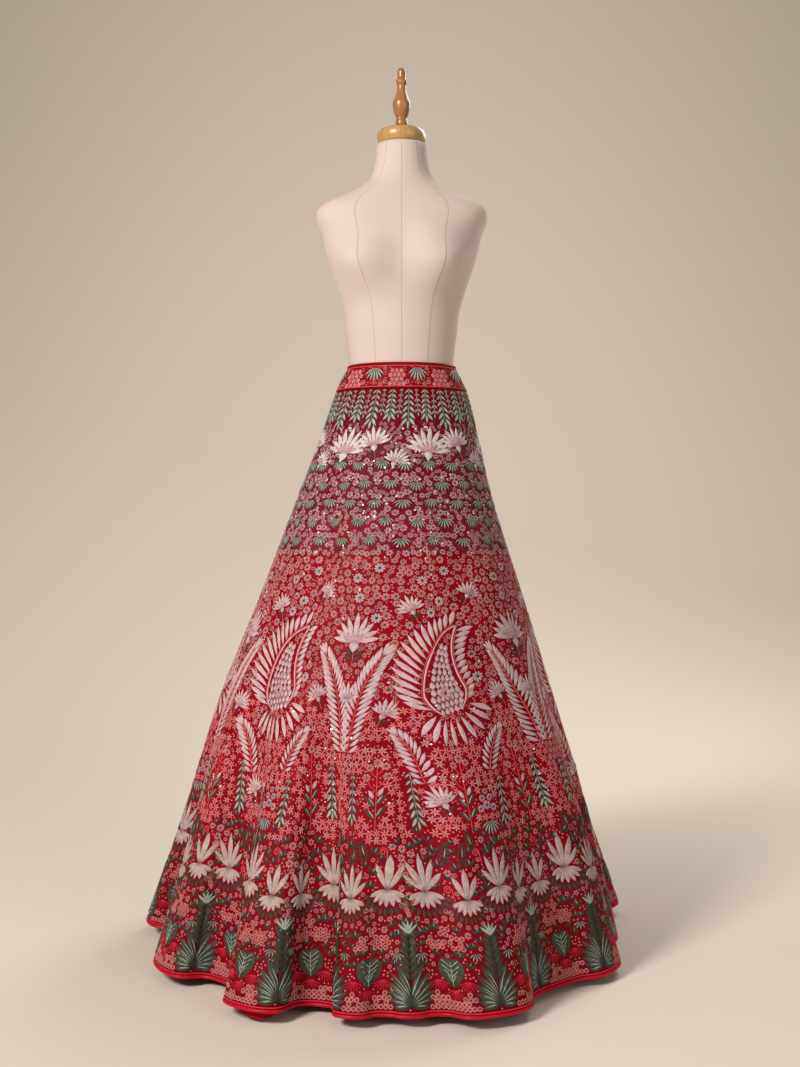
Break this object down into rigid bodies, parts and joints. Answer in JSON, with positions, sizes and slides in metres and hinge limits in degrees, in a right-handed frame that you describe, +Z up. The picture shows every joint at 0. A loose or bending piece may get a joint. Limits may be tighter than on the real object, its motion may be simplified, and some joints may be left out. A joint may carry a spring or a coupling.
{
  "type": "lehenga skirt on dress form",
  "caption": "Flared panelled lehenga skirt with a fitted waistband and corded edges, worn on a limbless dress form with a turned finial that stands on a pole and a round foot.",
  "frame": {"origin": "middle of the underside of the stand's round foot, on the floor", "axes": "+Z up; -Y is the front of the skirt and of the form; +X is to the wearer's left"},
  "size_m": [0.97, 0.9956, 1.7058],
  "materials": {
    "embroidered_silk": "crimson raw silk under dense thread embroidery",
    "piping_silk": "plain red silk, slightly shiny",
    "form_linen": "ivory jersey stretched over the form",
    "turned_wood": "varnished pale wood",
    "stand_steel": "satin steel"
  },
  "bodies": {
    "root": {"panel_01": "embroidered_silk", "panel_02": "embroidered_silk", "panel_03": "embroidered_silk", "panel_04": "embroidered_silk", "panel_05": "embroidered_silk", "panel_06": "embroidered_silk", "panel_07": "embroidered_silk", "panel_08": "embroidered_silk", "panel_09": "embroidered_silk", "panel_10": "embroidered_silk", "panel_11": "embroidered_silk", "panel_12": "embroidered_silk", "waistband_front": "embroidered_silk", "waistband_back": "embroidered_silk", "waist_piping": "piping_silk", "hem_piping": "piping_silk", "lining_flap": "piping_silk", "form_torso": "form_linen", "form_cap": "turned_wood", "form_finial": "turned_wood", "stand_flange": "stand_steel", "stand_pole": "stand_steel", "stand_foot": "stand_steel"}
  },
  "joints": []
}
